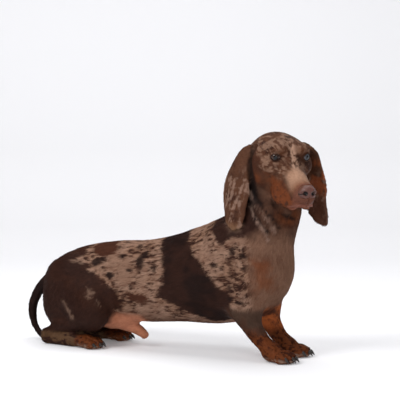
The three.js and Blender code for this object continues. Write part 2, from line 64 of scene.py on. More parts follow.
def makeStage():
    turn = math.radians(view["turn"])
    camera = bpy.data.objects.new("camera", bpy.data.cameras.new("camera"))
    camera.data.lens = view["lens"]
    camera.data.sensor_width = 36
    camera.data.clip_end = 50
    camera.location = (view["aim"][0] + view["distance"] * math.sin(turn),
                       view["aim"][1] - view["distance"] * math.cos(turn), view["height"])
    camera.rotation_euler = (math.radians(90 - view["down"]), 0, turn)
    bpy.context.scene.collection.objects.link(camera)
    bpy.context.scene.camera = camera
    bpy.context.scene.view_settings.view_transform = "Standard"

    bm = bmesh.new()
    rise = [bm.verts.new((0, y, z)) for y, z in paper["rise"]]
    edges = [bm.edges.new(pair) for pair in zip(rise, rise[1:])]
    swept = bmesh.ops.extrude_edge_only(bm, edges=edges)["geom"]
    drawn = [v for v in swept if isinstance(v, bmesh.types.BMVert)]
    bmesh.ops.translate(bm, vec=(paper["width"], 0, 0), verts=drawn)
    bmesh.ops.translate(bm, vec=(-paper["width"] / 2, 0, 0), verts=bm.verts)
    bmesh.ops.rotate(bm, matrix=Matrix.Rotation(turn, 3, "Z"), verts=bm.verts)
    floor = meshPiece("floor", bm)
    smoothFaces(floor)
    sheet = newMaterial("paper", paper["colour"], 0.9)
    setInputs(sheet.node_tree.nodes["Principled BSDF"],
              {"Emission Color": paper["colour"], "Emission Strength": paper["glow"]})
    floor.data.materials.append(sheet)

    for name in ("key", "fill", "top"):
        lamp = bpy.data.objects.new(name, bpy.data.lights.new(name, "AREA"))
        lamp.data.energy = light[name]["power"]
        lamp.data.size = light[name]["size"]
        lamp.location = light[name]["at"]
        lamp.rotation_euler = (Vector(light["aim"]) - lamp.location).to_track_quat("-Z", "Y").to_euler()
        bpy.context.scene.collection.objects.link(lamp)
    world = bpy.data.worlds.new("studio")
    world.use_nodes = True
    setInputs(world.node_tree.nodes["Background"], {"Color": light["skyColour"], "Strength": light["sky"]})
    bpy.context.scene.world = world


def setInputs(node, values):
    for name, value in values.items():
        node.inputs[name].default_value = value


def newMaterial(name, colour, roughness):
    material = bpy.data.materials.new(name)
    material.use_nodes = True
    setInputs(material.node_tree.nodes["Principled BSDF"], {"Base Color": colour, "Roughness": roughness})
    return material


def addBump(material, height, strength, distance):
    nodes, links = material.node_tree.nodes, material.node_tree.links
    bump = nodes.new("ShaderNodeBump")
    setInputs(bump, {"Strength": strength, "Distance": distance})
    links.new(height, bump.inputs["Height"])
    links.new(bump.outputs["Normal"], nodes["Principled BSDF"].inputs["Normal"])


def meshPiece(name, bm):
    mesh = bpy.data.meshes.new(name)
    bm.to_mesh(mesh)
    bm.free()
    piece = bpy.data.objects.new(name, mesh)
    bpy.context.scene.collection.objects.link(piece)
    return piece


def smoothFaces(piece):
    for face in piece.data.polygons:
        face.use_smooth = True


# the head's own frame: x to the nose, y to the left, z up, in millimetres from the middle of the skull
head = {"at": np.array((213.5, -14.3, 337.0)), "turn": -42.0, "down": 18.5}
headTurn = np.array(Matrix.Rotation(math.radians(head["turn"]), 3, "Z")
                    @ Matrix.Rotation(math.radians(head["down"]), 3, "Y"))


def toHead(points):
    return (points - head["at"]) @ headTurn


def fromHead(points):
    return np.asarray(points, float) @ headTurn.T + head["at"]


# soft noise between -1 and 1 at each point, from a lattice of mixed whole numbers
def latticeValue(i, j, k, seed):
    h = (i * 374761393 + j * 668265263 + k * 2147483647 + seed * 974634777) & 0xFFFFFFFF
    h = ((h ^ (h >> 13)) * 1274126177) & 0xFFFFFFFF
    return ((h ^ (h >> 16)) & 0xFFFF) / 32767.5 - 1


def softNoise(points, size, seed=0, octaves=3):
    total = np.zeros(len(points))
    weight = 1.0
    for octave in range(octaves):
        q = points / (np.asarray(size, float) / 2 ** octave) + 37.7 * octave
        cell = np.floor(q).astype(np.int64)
        t = q - cell
        t = t * t * (3 - 2 * t)
        value = np.zeros(len(points))
        for corner in range(8):
            step = np.array([corner & 1, corner >> 1 & 1, corner >> 2 & 1])
            share = np.prod(np.where(step, t, 1 - t), axis=1)
            value += share * latticeValue(*(cell + step).T, seed + octave)
        total += weight * value
        weight *= 0.55
    return total / 1.4


# ramp rises softly from 0 at low to 1 at high, fall drops the same way, and bell fades away from 0
def ramp(x, low, high):
    t = np.clip((x - low) / (high - low), 0, 1)
    return t * t * (3 - 2 * t)


def fall(x, low, high):
    return 1 - ramp(x, low, high)


def bell(distance, wide):
    return np.exp(-(distance / wide) ** 2)


# distance from each point to a line through given corners
def lineDistance(points, line):
    line = np.asarray(line, float)
    best = np.full(len(points), 1e9)
    for a, b in zip(line, line[1:]):
        along = b - a
        t = np.clip((points - a) @ along / max(along @ along, 1e-9), 0, 1)
        best = np.minimum(best, np.linalg.norm(points - a - t[:, None] * along, axis=1))
    return best


# signed distance to a closed outline in two dimensions, less than zero inside
def outlineDistance(points, outline):
    outline = np.asarray(outline, float)
    edge = lineDistance(points, np.vstack([outline, outline[:1]]))
    inside = np.zeros(len(points), bool)
    for (x0, y0), (x1, y1) in zip(outline, np.roll(outline, -1, axis=0)):
        crosses = (y0 > points[:, 1]) != (y1 > points[:, 1])
        slope = (x1 - x0) / (y1 - y0 if y1 != y0 else 1e-9)
        inside ^= crosses & (points[:, 0] < x0 + slope * (points[:, 1] - y0))
    return np.where(inside, -edge, edge)


# one skin over all the flesh
skin = {"cell": 1.95, "grow": 0.45, "earShare": 0.4, "faces": 132000, "coat": 1.0}
bare = ("eye", "nose", "claw")
fleshNodes = [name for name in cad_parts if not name.startswith(bare)]


def meshArrays(mesh):
    points = np.empty(len(mesh.vertices) * 3)
    mesh.vertices.foreach_get("co", points)
    edges = np.empty(len(mesh.edges) * 2, np.int64)
    mesh.edges.foreach_get("vertices", edges)
    normals = np.empty(len(mesh.vertices) * 3, np.float32)
    mesh.vertices.foreach_get("normal", normals)
    return points.reshape(-1, 3) / mm, edges.reshape(-1, 2), normals.reshape(-1, 3).astype(float)


def putPoints(mesh, points):
    mesh.vertices.foreach_set("co", (points * mm).ravel())
    mesh.update()


def evened(piece, name):
    graph = bpy.context.evaluated_depsgraph_get()
    mesh = bpy.data.meshes.new_from_object(piece.evaluated_get(graph))
    mesh.name = name
    piece.modifiers.clear()
    piece.data = mesh


# smooths where the weight is high and keeps the volume
def smoothPoints(points, edges, weight, rounds):
    count = np.maximum(np.bincount(edges.ravel(), minlength=len(points)), 1)[:, None]
    for turn in range(rounds):
        for step in (0.6, -0.62):
            total = np.stack([np.bincount(edges[:, 0], points[edges[:, 1], axis], len(points))
                              + np.bincount(edges[:, 1], points[edges[:, 0], axis], len(points))
                              for axis in range(3)], axis=1)
            points = points + step * weight[:, None] * (total / count - points)
    return points


def spreadOut(values, edges, rounds):
    count = np.maximum(np.bincount(edges.ravel(), minlength=len(values)), 1)
    for turn in range(rounds):
        total = (np.bincount(edges[:, 0], values[edges[:, 1]], len(values))
                 + np.bincount(edges[:, 1], values[edges[:, 0]], len(values)))
        values = 0.5 * values + 0.5 * total / count
    return values


def gatherSkin():
    bm = bmesh.new()
    for name in fleshNodes + ["eye_left", "eye_right", "nose"]:
        part = bmesh.new()
        part.from_mesh(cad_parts[name].data)
        bmesh.ops.remove_doubles(part, verts=part.verts, dist=0.00001)
        part.normal_update()
        grow = skin["grow"] * mm * (skin["earShare"] if name.startswith("ear") else 1)
        for vert in part.verts:
            vert.co += vert.normal * grow
        scrap = bpy.data.meshes.new("scrap")
        part.to_mesh(scrap)
        part.free()
        bm.from_mesh(scrap)
    piece = meshPiece("skin", bm)
    remesh = piece.modifiers.new("one surface", "REMESH")
    remesh.mode = "VOXEL"
    remesh.voxel_size = skin["cell"] * mm
    evened(piece, "skin")
    return piece


tailLine = np.array((
    (-272, 0, 132), (-305, 2, 109), (-330, 4, 84), (-342, 5, 57), (-340, 4, 33), (-327, 0, 14),
    (-305, -8, 6), (-286, -14, 4)), float) + (50.5, midY, 0)


# how much of each region a point belongs to, by the nearest solids
groups = {
    "ear": ("ear",),
    "head": ("head", "lower_jaw", "nose", "eye"),
    "feet": ("front_paw", "hind_foot", "claw"),
    "tail": ("tail",),
    "body": ("neck", "torso", "front_leg", "hind_leg", "sheath"),
}
softEdge = {"ear": 1.0, "head": 5, "feet": 4, "tail": 5, "body": 4}


def regions(points):
    far = {}
    for group, names in groups.items():
        bm = bmesh.new()
        for name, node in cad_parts.items():
            if name.startswith(names):
                bm.from_mesh(node.data)
        tree = BVHTree.FromBMesh(bm)
        bm.free()
        far[group] = np.array([tree.find_nearest(p)[3] for p in points * mm]) / mm
    part = {}
    for group, soft in softEdge.items():
        others = np.min([far[other] for other in groups if other != group], axis=0)
        part[group] = fall(far[group] - others, -soft, soft)
    part["inHead"] = toHead(points)
    return part


# the eyes and their lids in the head's frame; the opening is measured in degrees from the line of sight
eyes = {"at": (32, 24, 9), "radius": 9.5, "look": (0.9, 0.42, 0.08), "wide": 40, "high": 31, "lower": 0.9,
        "tilt": 0.03, "bulge": 0.7}
lids = {"thick": 1.7, "tuck": 1.3, "roll": 0.3, "foldAt": 1.6, "fold": 1.1, "hoodAt": 2.0, "hood": 0.9}


def eyeFrame(side):
    at = np.array(eyes["at"], float) * (1, side, 1)
    look = np.array(eyes["look"], float) * (1, side, 1)
    look /= np.linalg.norm(look)
    across = np.cross((0, 0, 1), look) * side
    across /= np.linalg.norm(across)
    up = np.cross(look, across) * side
    return at, look, across, up


# how far a point is from the middle of the opening of the lids: 1 at the rim
def openingDistance(h, side):
    at, look, across, up = eyeFrame(side)
    d = h - at
    r = np.linalg.norm(d, axis=1)
    unit = d / np.maximum(r, 1e-6)[:, None]
    ahead = unit @ look
    a = np.degrees(np.arctan2(unit @ across, ahead))
    b = np.degrees(np.arcsin(np.clip(unit @ up, -1, 1))) + eyes["tilt"] * a
    high = eyes["high"] * np.where(b > 0, 1.0, eyes["lower"])
    q = (np.abs(a / eyes["wide"]) ** 1.6 + np.abs(b / high) ** 1.9) ** (1 / 1.75)
    return np.where((r < 30) & (ahead > -0.4), q, 9)


# lids: an almond opening over each eyeball with a rounded rim, and the folds above and below it
def shapeLids(h):
    out = h.copy()
    for side in (1, -1):
        at, _, across, up = eyeFrame(side)
        d = h - at
        r = np.linalg.norm(d, axis=1)
        unit = d / np.maximum(r, 1e-6)[:, None]
        q = openingDistance(h, side)
        inner = eyes["radius"] - lids["tuck"]
        target = inner + (eyes["radius"] + lids["thick"] - inner) * ramp(q, 0.86, 1.1)
        target -= lids["roll"] * ramp(q, 1.15, 1.5)
        blend = ramp(q, 1.3, 2.0)
        target = target * (1 - blend) + r * blend
        above = unit @ up > 0
        fold = bell(q - lids["foldAt"], 0.14) * np.where(above, 1.0, 0.7)
        hood = bell(q - lids["hoodAt"], 0.25) * np.where(above, 1.0, 0.3)
        local = fall(r, 17, 22) * fall(np.abs(unit @ across), 0.75, 0.95)
        relief = (lids["hood"] * hood - lids["fold"] * fold) * local
        target = r + (target - r) * fall(r, 19, 24) + relief
        out = np.where((q < 4)[:, None], at + unit * target[:, None], out)
    return out


# strokes of a soft tool: each raises or lowers the skin along a line
mouthLine = ((42, 29, -50), (60, 29, -57), (76, 26, -60), (92, 21, -57), (105, 14, -50), (113, 7, -44), (115, 0, -43))
earHollow = ((-12, 43, 12), (-11, 47, -8), (-7, 48, -22), (-5, 47, -36), (-3, 45, -54), (1, 44, -70))
headStrokes = [
    # the line of the mouth, the lips over it and the folds of the flews
    {"line": mouthLine, "wide": 2.0, "by": -2.6},
    {"line": ((50, 30, -51), (66, 29, -54), (84, 24, -55), (100, 18, -50), (112, 9, -41)), "wide": 3.4, "by": 1.1},
    {"line": ((40, 30, -44), (36, 30, -54), (40, 26, -64)), "wide": 3.5, "by": -1.6},
    {"line": ((122, 0, -31), (119, 0, -38), (115, 0, -44)), "wide": 1.5, "by": -1.5},
    # whisker rows, cheek and brow
    {"line": ((70, 24, -26), (90, 20, -30), (104, 15, -32)), "wide": 6, "by": 1.1},
    {"line": ((52, 26, -20), (66, 22, -18), (84, 17, -16)), "wide": 4, "by": -0.7},
    {"line": ((20, 36, -12), (34, 32, -12), (48, 26, -14)), "wide": 6, "by": 1.2},
    {"line": ((24, 34, -24), (40, 31, -32), (46, 30, -44)), "wide": 4, "by": -0.9},
    {"line": ((22, 30, 21), (32, 24, 25), (41, 16, 24)), "wide": 4.5, "by": 1.5},
    {"line": ((40, 0, 18), (30, 0, 30), (16, 0, 38)), "wide": 4, "by": -0.8},
    # the fold in front of each ear and the hollow under its root
    {"line": earHollow, "wide": 4.6, "by": -7.0},
    {"line": ((4, 42, 8), (6, 43, -12), (4, 43, -34)), "wide": 6, "by": 1.2},
]
bodyStrokes = [
    # a stroke with both is drawn on the left too
    # loose skin folds of the neck, on the right and on the left: some are grooves, some ridges; "dark" is the width
    # of painted shade in a groove, "pale" marks a ridge for painted light
    {"line": ((168, -34, 276), (171, -33, 272), (179, -34, 256), (194, -32, 240), (202, -26, 226), (206, -20, 214)),
     "wide": 4, "by": 3.0, "pale": True},
    {"line": ((174, -34, 276), (184, -34, 262), (198, -33, 246), (208, -26, 232), (214, -16, 218)),
     "wide": 3.4, "by": -2.6, "dark": 3},
    {"line": ((160, -32, 268), (172, -33, 244), (185, -31, 226), (197, -24, 210)),
     "wide": 3.6, "by": -2.8, "dark": 3.4},
    {"line": ((160, -33, 262), (166, -33, 256), (179, -33, 232), (191, -28, 214), (196, -23, 200)),
     "wide": 4, "by": 2.4, "pale": True},
    {"line": ((201, -34, 265), (208, -28, 247), (215, -20, 232), (224, -7, 225), (230, 9, 224)),
     "wide": 3.6, "by": 2.6},
    {"line": ((208, -33, 264), (214, -26, 248), (222, -15, 238), (230, 4, 234)), "wide": 3.4, "by": -2.8, "dark": 3},
    {"line": ((221, -18, 246), (229, -7, 243), (232, 9, 236)), "wide": 3.2, "by": 2.0},
    {"line": ((150, 58, 262), (164, 60, 240), (184, 52, 222), (200, 40, 212)), "wide": 5, "by": 2.0},
    {"line": ((160, 60, 264), (176, 60, 244), (196, 50, 228), (212, 38, 220)), "wide": 3.4, "by": -2.0},
    # shoulder blade, point of shoulder, breastbone
    {"line": ((96, -34, 206), (116, -48, 176), (138, -50, 146)), "wide": 10, "by": 2.0, "both": True},
    {"line": ((80, -36, 196), (98, -50, 160), (112, -52, 128)), "wide": 9, "by": -1.6, "both": True},
    {"line": ((140, -46, 142), (160, -44, 122), (172, -40, 104)), "wide": 9, "by": 1.8},
    {"line": ((176, -42, 150), (184, -38, 126), (184, -34, 100)), "wide": 7, "by": -1.3},
    {"line": ((212, 18, 196), (212, 20, 170), (202, 22, 145)), "wide": 20, "by": 4.0},
    # elbow and the fold behind it
    {"line": ((118, -46, 100), (124, -46, 84), (140, -46, 70)), "wide": 6, "by": -1.6, "both": True},
    # flank, loin and the groove between thigh and belly
    {"line": ((-84, -30, 150), (-92, -38, 118), (-94, -42, 84)), "wide": 12, "by": -2.2, "both": True},
    {"line": ((-150, -40, 132), (-140, -50, 104), (-150, -54, 76), (-172, -50, 56)), "wide": 7, "by": -1.2},
    {"line": ((-176, -44, 140), (-168, -52, 110), (-176, -54, 80)), "wide": 10, "by": 1.6, "both": True},
    {"line": ((-108, -48, 78), (-122, -52, 58), (-140, -50, 44)), "wide": 5, "by": 1.2},
    {"line": ((-230, -24, 126), (-222, -32, 90), (-222, -34, 56)), "wide": 8, "by": -1.4},
    # hock tendon, wrist folds
    {"line": ((-232, -32, 20), (-206, -32, 16), (-176, -34, 14)), "wide": 3.5, "by": 0.7},
    {"line": ((174, -36, 46), (186, -36, 42), (198, -26, 44)), "wide": 2.2, "by": -1.3},
    {"line": ((172, -34, 40), (188, -36, 36), (202, -22, 40)), "wide": 2.4, "by": 1.0},
]


def stroke(points, normals, line, wide, by):
    return points + normals * (by * bell(lineDistance(points, line), wide))[:, None]


# a slow ripple along the ear leaves
def rippleEars(h, normals, ear):
    ripple = softNoise(h, (16, 16, 46), seed=5, octaves=2)
    return h + normals * (ear * ripple * 0.9)[:, None]


# each paw: its middle, its turn in degrees and its size; the toes are in the paw's own plane
toes = {
    "row": ((11, -15), (19, -5.4), (19, 5.4), (11, 15)),
    "paws": {"front_left": (207.5, 53.7, 6, 1.0), "front_right": (210.5, -14.3, -6, 1.0),
             "hind_left": (-140.5, 68.7, 3, 0.94), "hind_right": (-140.5, -29.3, -3, 0.94)},
    "groove": ((-12, 22), (-2, 18), (8, 12), (10, 3)),
    "parted": {"wide": 2.4, "by": -3.4},
    "knuckle": {"wide": 6, "by": 1.6},
}


def shapeToes(points, normals):
    for x, y, turn, scale in toes["paws"].values():
        a = math.radians(turn)

        def place(u, v, z):
            return x + math.cos(a) * u - math.sin(a) * v, y + math.sin(a) * u + math.cos(a) * v, z

        for (x0, y0), (x1, y1) in zip(toes["row"], toes["row"][1:]):
            u, v = (x0 + x1) / 2 * scale, (y0 + y1) / 2 * scale
            line = [place(u + back, v, z) for back, z in toes["groove"]]
            points = stroke(points, normals, line, **toes["parted"])
        for u, v in toes["row"]:
            knuckle = place((u - 3) * scale, v * scale, 17 * scale)
            points = stroke(points, normals, (knuckle, knuckle), **toes["knuckle"])
    return points


def smoothSkin(piece):
    points, edges, _ = meshArrays(piece.data)
    print("skin gathered:", len(points))
    part = regions(points)
    broad = (1 - part["head"]) * (1 - part["ear"]) * (1 - part["feet"]) * (1 - part["tail"])
    points = smoothPoints(points, edges, broad * ramp(points[:, 2], 40, 75), 34)
    points = smoothPoints(points, edges, np.clip(0.18 + 0.82 * broad, 0, 1), 12)
    points = smoothPoints(points, edges, np.ones(len(points)) * (1 - 0.6 * part["head"]), 3)
    points = smoothPoints(points, edges, part["ear"], 30)
    putPoints(piece.data, points)
    return broad


# fewer faces on the broad parts of the body
def thinSkin(piece, broad):
    free = piece.vertex_groups.new(name="broad")
    free.add(np.where(broad > 0.5)[0].tolist(), 1, "REPLACE")
    thin = piece.modifiers.new("fewer faces", "DECIMATE")
    thin.ratio = skin["faces"] / (2 * len(piece.data.polygons))
    thin.vertex_group = free.name
    evened(piece, "skin")
    piece.vertex_groups.clear()


# finer faces on the front of the face, and finer again round the eyes
def refineFace(piece):
    bm = bmesh.new()
    bm.from_mesh(piece.data)
    snout = Vector(fromHead((78, 0, -20)) * mm)
    eyeAt = [Vector(fromHead(np.array(eyes["at"]) * (1, side, 1)) * mm) for side in (1, -1)]
    for centres, reach in (([snout] + eyeAt, (0.052, 0.024, 0.024)), (eyeAt, (0.0175, 0.0175))):
        close = [e for e in bm.edges if any((e.verts[0].co - c).length < r for c, r in zip(centres, reach))]
        bmesh.ops.subdivide_edges(bm, edges=close, cuts=1, use_grid_fill=True)
        bmesh.ops.triangulate(bm, faces=[f for f in bm.faces if len(f.verts) > 3])
    bm.to_mesh(piece.data)
    bm.free()
    piece.data.validate()


# face, lids, ear edges and the place under the nose leather
def shapeHead(h, normals, part, edges):
    for s in headStrokes:
        for side in (1, -1):
            line = np.array(s["line"], float) * (1, side, 1)
            h = stroke(h, normals * part["head"][:, None], line, s["wide"], s["by"])
    h = rippleEars(h, normals, part["ear"])
    edge = 1.6 * part["ear"] - 2.2 * spreadOut(part["earEdge"] * (part["ear"] < 0.5), edges, 1)
    h = h + normals * edge[:, None]
    h = np.where(part["head"][:, None] > 0.2, shapeLids(h), h)
    d = (h - nose["at"]) / nose["half"]
    r = np.linalg.norm(d, axis=1)
    sunk = np.interp(r, (0, 0.9, 1.02, 1.14), (0, 0.4, 0.84, 1.0))
    under = ((r < 1.14) & (h[:, 0] > 96))[:, None]
    return np.where(under, nose["at"] + d / np.maximum(r, 0.01)[:, None] * sunk[:, None] * nose["half"], h)


def buildSkin():
    piece = gatherSkin()
    thinSkin(piece, smoothSkin(piece))
    refineFace(piece)
    points, edges, normals = meshArrays(piece.data)
    print("skin thinned:", len(points), "points")
    part = regions(points)
    for group, soft in softEdge.items():
        part[group] = spreadOut(part[group], edges, int(soft))
    part["earEdge"] = 4 * part["ear"] * (1 - part["ear"])
    points = fromHead(shapeHead(part["inHead"], normals @ headTurn, part, edges))
    for s in bodyStrokes:
        points = stroke(points, normals, s["line"], s["wide"], s["by"])
        if "both" in s:
            leftLine = [(x, 40 - y, z) for x, y, z in s["line"]]
            points = stroke(points, normals, leftLine, s["wide"], s["by"])
    points = shapeToes(points, normals)
    # inwards by the depth of the coat
    depth = skin["coat"] * (1 - 0.6 * part["head"]) * (1 - 0.7 * part["ear"])
    points -= normals * depth[:, None]
    points[:, 2] = np.maximum(points[:, 2], 0.05)
    putPoints(piece.data, points)
    smoothFaces(piece)
    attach(piece, "root")
    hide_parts(*fleshNodes)
    part["inHead"] = toHead(points)
    return piece, part


# markings, with some painted shade and painted light, in linear colour
def shade(r, g, b):
    c = np.array((r, g, b)) / 255
    return np.where(c <= 0.04045, c / 12.92, ((c + 0.055) / 1.055) ** 2.4)


hues = {
    "chocolate": shade(46, 25, 18), "deep": shade(31, 16, 12), "warm": shade(78, 44, 30),
    "dapple": shade(152, 120, 101), "dappleWarm": shade(140, 104, 82), "taupe": shade(122, 89, 71),
    "rust": shade(120, 62, 30), "rustDeep": shade(84, 38, 16), "pink": shade(170, 112, 86),
    "olive": shade(100, 72, 50), "pale": shade(172, 140, 120), "grey": shade(84, 62, 50),
    # the last three are painted, not hair colours: shade in the hollow behind the cheek, shade in the neck's grooves,
    # light on the fold ridges
    "nape": shade(86, 58, 44), "hollow": shade(20, 12, 10), "fold": shade(24, 14, 11), "ridgeLight": shade(140, 112, 98),
}
faceHues = {
    "brown": shade(82, 50, 34), "swirl": shade(130, 99, 81), "blaze": shade(176, 140, 118), "brow": shade(92, 54, 34),
    "cheek": shade(70, 38, 24), "lowerCheekShade": shade(40, 23, 16), "cheekSpot": shade(126, 66, 34),
    "flew": shade(106, 54, 27), "flewDark": shade(68, 37, 23), "bridge": shade(166, 128, 104),
    "bridgeEnd": shade(120, 76, 54), "front": shade(98, 60, 48), "dot": shade(60, 32, 22), "lip": shade(132, 84, 70),
    "mouth": shade(26, 14, 11), "lid": shade(52, 32, 24), "lidRim": shade(22, 13, 11), "throat": shade(84, 44, 26),
}
earHues = {
    "brown": shade(88, 56, 40), "dark": shade(58, 34, 25), "pale": shade(146, 116, 100), "tip": shade(150, 112, 84),
    # rim is painted shade where the ear meets the head and neck
    "inside": shade(150, 80, 48), "leftEnd": shade(78, 46, 34), "rim": shade(22, 13, 10),
}
# outlines seen from the right side, x to the front and z up
marks = {
    "saddle": ((-7, 240), (46, 240), (44, 212), (57, 184), (72, 170), (92, 151), (106, 132), (123, 119), (133, 100),
               (140, 68), (96, 58), (50, 74), (21, 88), (-2, 102), (5, 118), (11, 143), (5, 167), (-7, 190)),
    "rump": ((-164, 240), (-160, 173), (-152, 162), (-163, 155), (-137, 139), (-120, 124), (-104, 110),
             (-82, 102), (-80, 78), (-97, 68), (-70, 56), (-90, -40), (-400, -40), (-400, 240)),
    "loin": ((-146, 184), (-98, 186), (-92, 164), (-118, 158), (-140, 166)),
    "flank": ((-62, 100), (-30, 98), (-10, 88), (-30, 82), (-58, 90)),
    "rustPatch": ((172, 166), (196, 166), (200, 140), (198, 118), (180, 118), (182, 142)),
}
neckEdge = ((60, 262), (89, 224), (110, 200), (124, 190), (135, 197), (146, 205), (187, 208), (215, 204), (240, 204))
spots = (  # middle, half width, half height
    ((-37, 154), 9, 15), ((-29, 167), 6, 8), ((-57, 139), 8, 3), ((-8, 145), 7, 6), ((-53, 113), 4, 3),
    ((-79, 161), 5, 4), ((-115, 156), 7, 5), ((-127, 149), 9, 7), ((-97, 129), 8, 6), ((-50, 177), 5, 4),
    ((142, 180), 6, 7), ((162, 173), 7, 4), ((177, 175), 6, 5), ((165, 154), 6, 3), ((113, 156), 7, 4),
    ((125, 153), 5, 4), ((137, 103), 7, 5), ((155, 97), 8, 4), ((138, 121), 3, 5))
streaks = (  # two ends and half width
    ((-165, 150), (-151, 150), 3.0), ((-130, 101), (-111, 78), 3.0), ((-180, 87), (-163, 53), 3.4),
    ((-158, 152), (-140, 158), 3))
leftEarLine = np.array(((-16, 38, 12), (-15, 57, 2), (-9, 69, -40), (-2, 75, -80), (30, 88, -120)), float)


# mixes a hue or an array of hues with another by a share at each point
def mix(base, hue, share):
    return base * (1 - share[:, None]) + hue * share[:, None]


def mouthDistance(h):
    folded = h.copy()
    folded[:, 1] = np.abs(h[:, 1])
    return lineDistance(folded, mouthLine)


# noise that all the markings share: ragged edges in millimetres, fine flecks, broad shades and lines of hair
def coatNoise(points):
    return {
        "ragged": 3.6 * softNoise(points, (15, 11, 9), 1) + 1.7 * softNoise(points, (5, 3.4, 2.8), 2, 2),
        "fine": softNoise(points, (6.0, 2.8, 2.6), 3, 3),
        "broad": softNoise(points, (34, 26, 24), 4, 3),
        "hair": softNoise(points, (5, 1.5, 1.5), 6, 2),
    }


def trunkColour(points, flat, part, noise):
    ragged, fine, broad, hair = noise.values()
    # dapple: beige hair with dark ragged flecks
    colour = mix(hues["dapple"], hues["dappleWarm"], ramp(broad, -0.1, 0.5) * 0.6)
    colour = mix(colour, hues["taupe"], ramp(-broad, 0.0, 0.6) * 0.5)
    colour = mix(colour, hues["warm"], ramp(hair, 0.0, 0.5) * 0.55)
    colour = mix(colour, hues["warm"], ramp(fine + 0.45 * broad + 0.3 * hair, -0.02, 0.3) * 0.85)
    colour = mix(colour, hues["chocolate"], ramp(fine + 0.5 * broad + 0.3 * hair, 0.18, 0.46))
    for (x, z), wide, high in spots:
        d = np.hypot((flat[:, 0] - x) / wide, (flat[:, 1] - z) / high) + ragged * 0.07
        colour = mix(colour, hues["deep"], fall(d, 0.75, 1.15) * 0.95)
    for name in ("loin", "flank"):
        patch = fall(outlineDistance(flat, marks[name]) + ragged, -1.5, 1.5)
        colour = mix(colour, hues["warm"] * 0.8, patch)

    # chest and breast: plain taupe with fine lines of the hair
    chest = ramp(points[:, 0] + 0.10 * points[:, 2] + ragged * 1.4, 176, 192) * ramp(points[:, 2], 60, 80)
    breast = mix(hues["taupe"], hues["warm"], ramp(broad + 0.6 * hair, 0.1, 0.8) * 0.55)
    colour = mix(colour, breast, chest)
    patch = fall(outlineDistance(flat, marks["rustPatch"]) + ragged * 2, -7, 7)
    colour = mix(colour, hues["rust"] * 0.85, patch * 0.62)

    # dark fields: saddle, nape and rump
    saddle = fall(outlineDistance(flat, marks["saddle"]) + ragged * 1.25, -1.0, 1.2)
    colour = mix(colour, mix(hues["chocolate"], hues["deep"], ramp(-broad, -0.2, 0.5)), saddle)
    edge = np.interp(flat[:, 0], *zip(*neckEdge))
    soft = np.interp(points[:, 0], (150, 195), (2, 18))
    neck = np.clip((flat[:, 1] + ragged * 1.4 - edge) / soft * 0.5 + 0.5, 0, 1) * part["body"]
    nape = mix(hues["chocolate"], hues["nape"], ramp(points[:, 0] + 14 * broad, 168, 196) * 0.8)
    nape = mix(nape, hues["deep"], ramp(softNoise(points, (14, 10, 10), 8, 2), 0.1, 0.5) * 0.6)
    colour = mix(colour, nape, neck)
    rump = fall(outlineDistance(flat, marks["rump"]) + ragged * 1.5, -1.2, 1.2)
    dark = mix(hues["chocolate"], hues["warm"] * 0.55, ramp(broad + 0.3 * hair, 0.0, 0.6) * 0.45)
    # painted light: the rump's dark coat lighter towards its top
    dark = mix(dark, hues["warm"] * 0.7, ramp(points[:, 2], 150, 175) * 0.55)
    colour = mix(colour, dark, rump)
    for a, b, wide in streaks:
        near = lineDistance(flat, (a, b)) + ragged * 1.7 + fine * 4.5 + hair * 2
        colour = mix(colour, hues["dapple"] * 0.7, fall(near, -1, wide * 1.5) * 0.65 * rump)
    return colour


def limbColour(colour, points, part, noise):
    ragged, fine, broad, hair = noise.values()
    x, z = points[:, 0], points[:, 2]
    away = np.abs(points[:, 1] - midY)
    # painted shade on the underside, and the bare skin of the groin and sheath
    under = fall(z, 48, 66) * ramp(x, -112, -70) * fall(x, 120, 140)
    colour = mix(colour, hues["warm"] * 0.8, under * 0.7)
    groin = fall(z, 54, 70) * ramp(x, -150, -118) * fall(x, -52, -34) * fall(away, 30, 40)
    colour = mix(colour, mix(hues["pink"] * 1.15, hues["rust"], ramp(broad, 0, 0.6) * 0.4), groin * 0.92)

    # front legs: brown on the outside, rust on the inside and below; the inside rust, which covers the far leg, is
    # lighter than the leg's own rust as painted light
    leg = fall(z, 80, 92) * ramp(x, 118, 130)
    outer = np.where(points[:, 1] < midY, ramp(away + ragged, 18, 28), ramp(away + ragged, 40, 50))
    colour = mix(colour, mix(hues["grey"] * 0.8, hues["warm"], ramp(broad, -0.1, 0.5) * 0.6), leg * outer)
    inner = mix(hues["rust"] * 1.85, hues["warm"], ramp(broad + 0.5 * fine, 0.15, 0.6))
    colour = mix(colour, inner, leg * (1 - outer))
    lower = fall(z + ragged * 1.5, 40, 54) * ramp(x, 118, 130)
    paw = mix(hues["rust"] * 0.68, hues["rustDeep"] * 0.45, ramp(fine + 0.6 * broad, -0.05, 0.3))
    paw = mix(paw, hues["pale"] * 0.8, fall(z, 5, 11) * ramp(fine, -0.1, 0.3) * 0.7)
    colour = mix(colour, paw, lower)

    # hind feet and tail
    foot = fall(z - 0.02 * x, 25, 33) * fall(x, -100, -92) * ramp(away, 20, 28) * ramp(x, -250, -242)
    shin = mix(hues["olive"] * 0.8, hues["chocolate"], ramp(fine + broad, 0.0, 0.5))
    toe = ramp(x + ragged * 1.5, -166, -152)
    colour = mix(colour, shin, foot * (1 - toe))
    colour = mix(colour, paw, foot * toe)
    tail = mix(hues["deep"], hues["warm"] * 0.7, ramp(broad + 0.4 * hair, 0.1, 0.7))
    return mix(colour, tail, part["tail"])


